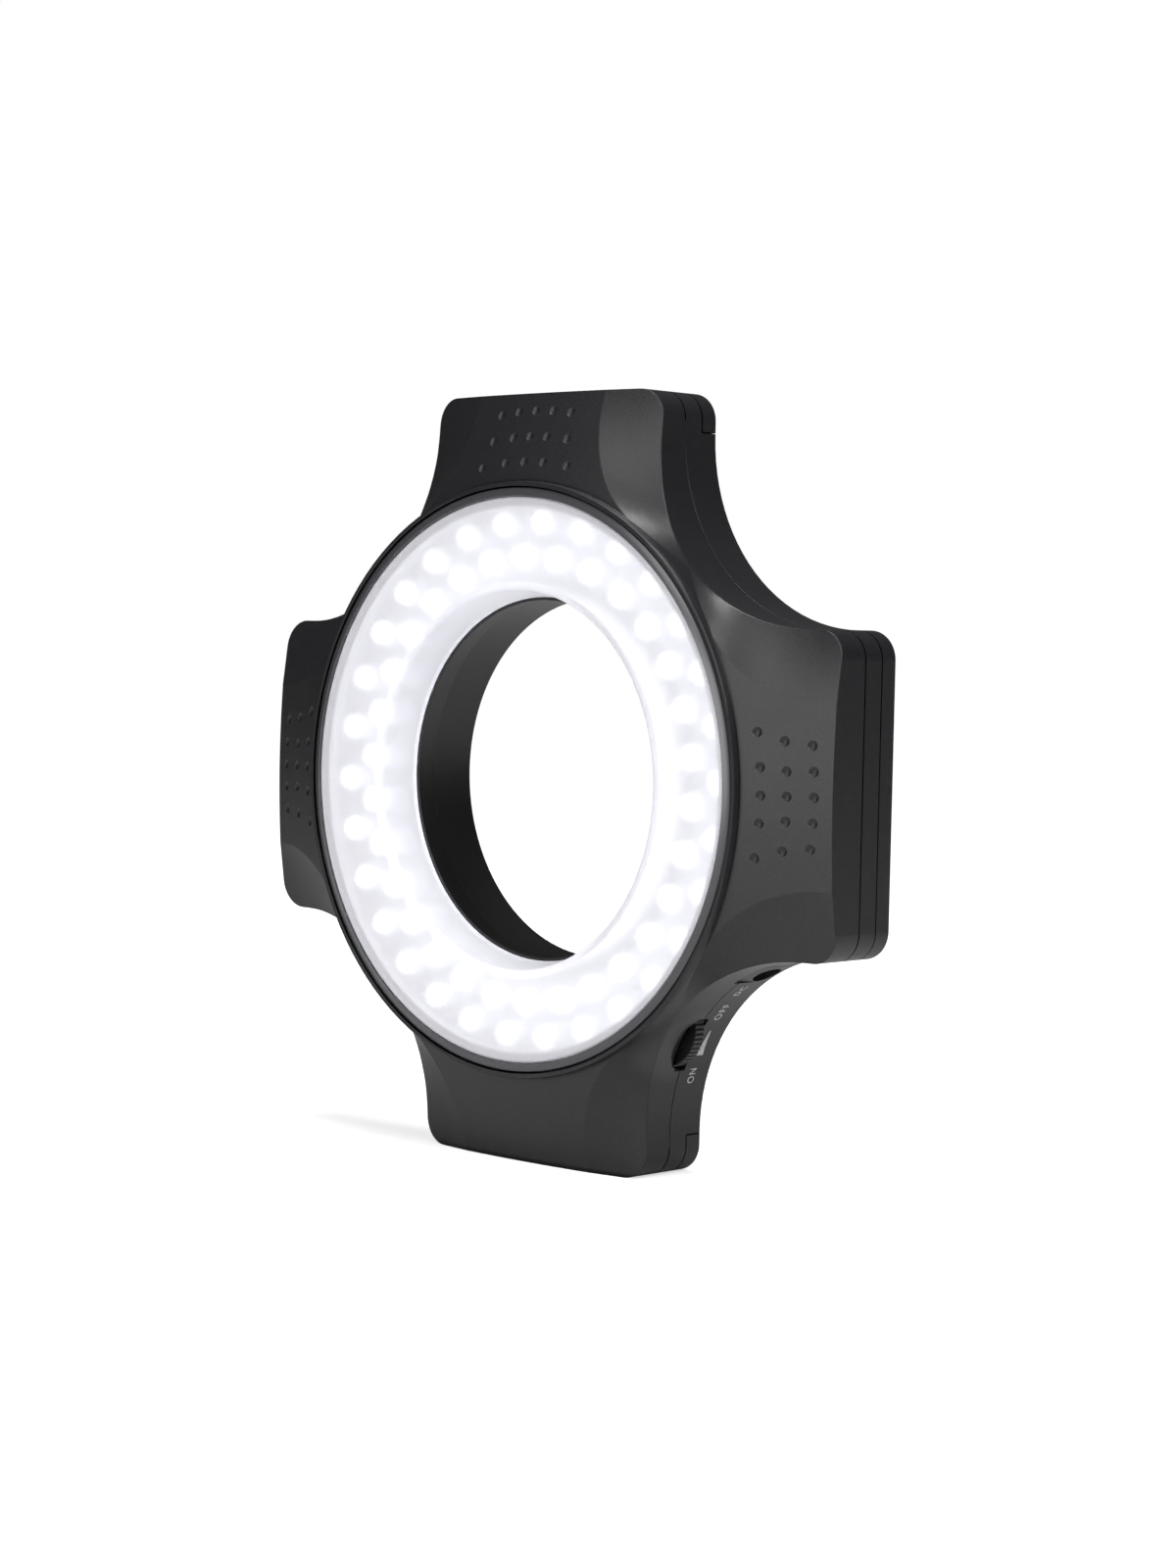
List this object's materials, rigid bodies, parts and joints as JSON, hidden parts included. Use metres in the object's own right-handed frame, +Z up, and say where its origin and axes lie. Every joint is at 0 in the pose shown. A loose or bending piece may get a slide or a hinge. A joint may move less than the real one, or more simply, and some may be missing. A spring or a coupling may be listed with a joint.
{
  "type": "led ring light",
  "caption": "Battery powered LED ring light in a flat cross-shaped housing with a lit round diffuser, a through bore for the lens, sliding battery doors and a dimmer thumbwheel.",
  "frame": {"origin": "centre of the lens bore in the flat rear face", "axes": "+Y along the bore towards the camera, -Y to the lit front, +X to the right seen from the front, +Z up"},
  "size_m": [0.148, 0.0245, 0.148],
  "materials": {
    "shell": "fine grained, matt",
    "door": "fine grained, matt",
    "tube": "smooth, satin",
    "diffuser": "milky, translucent",
    "bezel": "satin",
    "board": "white solder mask",
    "led": "clear resin",
    "screw": "zinc plated",
    "cell": "plain sleeve",
    "contact": "nickel plated",
    "wheel": "ridged rim",
    "shaft": "turned",
    "pot": "moulded",
    "jack": "moulded",
    "pin": "nickel plated"
  },
  "bodies": {
    "housing": {"front_shell": "shell", "rear_shell": "shell", "lens_tube": "tube", "diffuser": "diffuser", "bezel_ring": "bezel", "led_board": "board", "leds_outer": "led", "leds_inner": "led", "case_screws": "screw", "board_screws": "screw", "battery_cell_right": "cell", "battery_cell_top": "cell", "battery_cell_left": "cell", "battery_cell_bottom": "cell", "contact_plates": "contact", "spring_plates": "contact", "battery_springs": "contact", "dimmer_pot": "pot", "control_board": "board", "dc_jack": "jack", "dc_jack_pin": "pin"},
    "dimmer": {"dimmer_wheel": "wheel", "dimmer_shaft": "shaft"},
    "door_right": {"battery_door_right": "door"},
    "door_top": {"battery_door_top": "door"},
    "door_left": {"battery_door_left": "door"},
    "door_bottom": {"battery_door_bottom": "door"}
  },
  "joints": [
    {"name": "door_right_slide", "type": "slide", "parent": "housing", "child": "door_right", "axis": [1, 0, 0], "range_m": [0, 0.014]},
    {"name": "door_top_slide", "type": "slide", "parent": "housing", "child": "door_top", "axis": [0, 0, 1], "range_m": [0, 0.014]},
    {"name": "door_left_slide", "type": "slide", "parent": "housing", "child": "door_left", "axis": [-1, 0, 0], "range_m": [0, 0.014]},
    {"name": "door_bottom_slide", "type": "slide", "parent": "housing", "child": "door_bottom", "axis": [0, 0, -1], "range_m": [0, 0.014]},
    {"name": "dimmer_turn", "type": "hinge", "parent": "housing", "child": "dimmer", "pos_m": [0.02908, -0.0092, -0.04507], "axis": [0, 1, 0], "range_deg": [-270, 0]}
  ]
}
